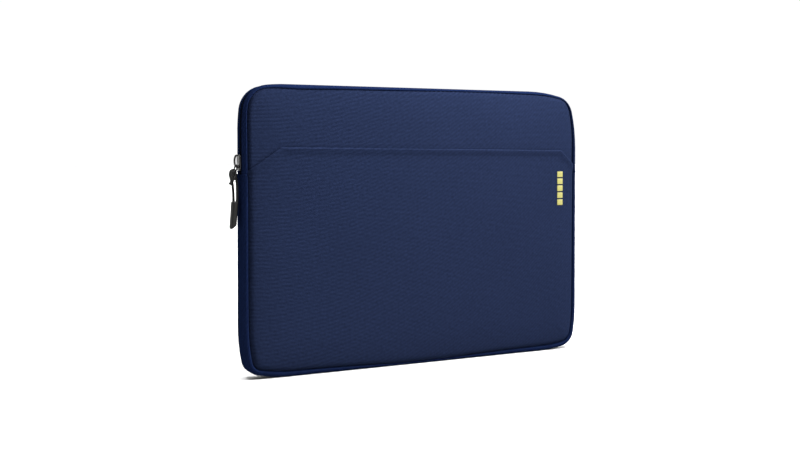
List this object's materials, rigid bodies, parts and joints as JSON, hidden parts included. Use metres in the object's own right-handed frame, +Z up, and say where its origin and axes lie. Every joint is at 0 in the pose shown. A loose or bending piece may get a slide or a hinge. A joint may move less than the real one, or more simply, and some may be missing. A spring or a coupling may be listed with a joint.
{
  "type": "laptop sleeve",
  "caption": "Padded zip-up laptop sleeve with a front slip pocket, a folding mouth, a sliding zip slider and a cord pull with a moulded grip.",
  "frame": {"origin": "middle of the sleeve's bottom edge, on the flat of the gusset that it stands on", "axes": "+X along the width, to the right seen from the pocket side; +Y from the pocket side to the back; +Z up towards the zip"},
  "size_m": [0.3486, 0.0209, 0.247],
  "materials": {
    "navy_fabric": "woven, matt, fine horizontal rib",
    "navy_fabric_edge": "woven, matt",
    "grey_foam": "soft open foam",
    "plush_lining": "short soft pile",
    "binding_tape": "woven tape",
    "zip_tape": "woven tape",
    "zip_coil": "smooth nylon",
    "gunmetal": "dark plated, polished edges",
    "black_cord": "braided cord",
    "moulded_grip": "matt moulded",
    "yellow_print": "flat printed film"
  },
  "bodies": {
    "shell": {"back_panel": "navy_fabric", "back_foam": "grey_foam", "back_lining": "plush_lining", "back_seam_binding": "binding_tape", "front_panel_lower": "navy_fabric", "front_foam_lower": "grey_foam", "front_lining_lower": "plush_lining", "front_seam_binding_lower": "binding_tape", "pocket_panel_lower": "navy_fabric", "pocket_mark": "yellow_print", "gusset_lower": "navy_fabric_edge", "gusset_foam": "grey_foam", "gusset_lining": "plush_lining", "back_zip_strip": "navy_fabric_edge", "back_strip_lining": "plush_lining", "back_zip_tape": "zip_tape", "back_zip_coil": "zip_coil", "zip_stop_left": "gunmetal", "zip_stop_right": "gunmetal"},
    "mouth_flap": {"front_panel_upper": "navy_fabric", "front_foam_upper": "grey_foam", "front_lining_upper": "plush_lining", "front_seam_binding_upper": "binding_tape", "pocket_panel_upper": "navy_fabric", "front_zip_strip": "navy_fabric_edge", "front_strip_lining": "plush_lining", "front_zip_tape": "zip_tape", "front_zip_coil": "zip_coil"},
    "lip": {"pocket_lip": "navy_fabric"},
    "slider": {"slider_body": "gunmetal", "slider_crown": "gunmetal"},
    "link": {"pull_link": "gunmetal"},
    "pull": {"pull_cord": "black_cord", "pull_grip": "moulded_grip"}
  },
  "joints": [
    {"name": "mouth_open", "type": "hinge", "parent": "shell", "child": "mouth_flap", "pos_m": [0, -0.0109, 0.1714], "axis": [1, 0, 0], "range_deg": [0, 40], "stiffness_Nm_per_rad": 0.05},
    {"name": "pocket_open", "type": "hinge", "parent": "mouth_flap", "child": "lip", "pos_m": [0, -0.0109, 0.1775], "axis": [1, 0, 0], "range_deg": [0, 30], "stiffness_Nm_per_rad": 0.01},
    {"name": "slider_travel", "type": "slide", "parent": "shell", "child": "slider", "axis": [0, 0, 1], "range_m": [0, 0.026]},
    {"name": "link_swing", "type": "hinge", "parent": "slider", "child": "link", "pos_m": [-0.173, 0, 0.179], "axis": [0, 1, 0], "range_deg": [0, 110]},
    {"name": "cord_swing", "type": "hinge", "parent": "link", "child": "pull", "pos_m": [-0.1755, 0, 0.1684], "axis": [0, 1, 0], "range_deg": [-2, 60]}
  ]
}
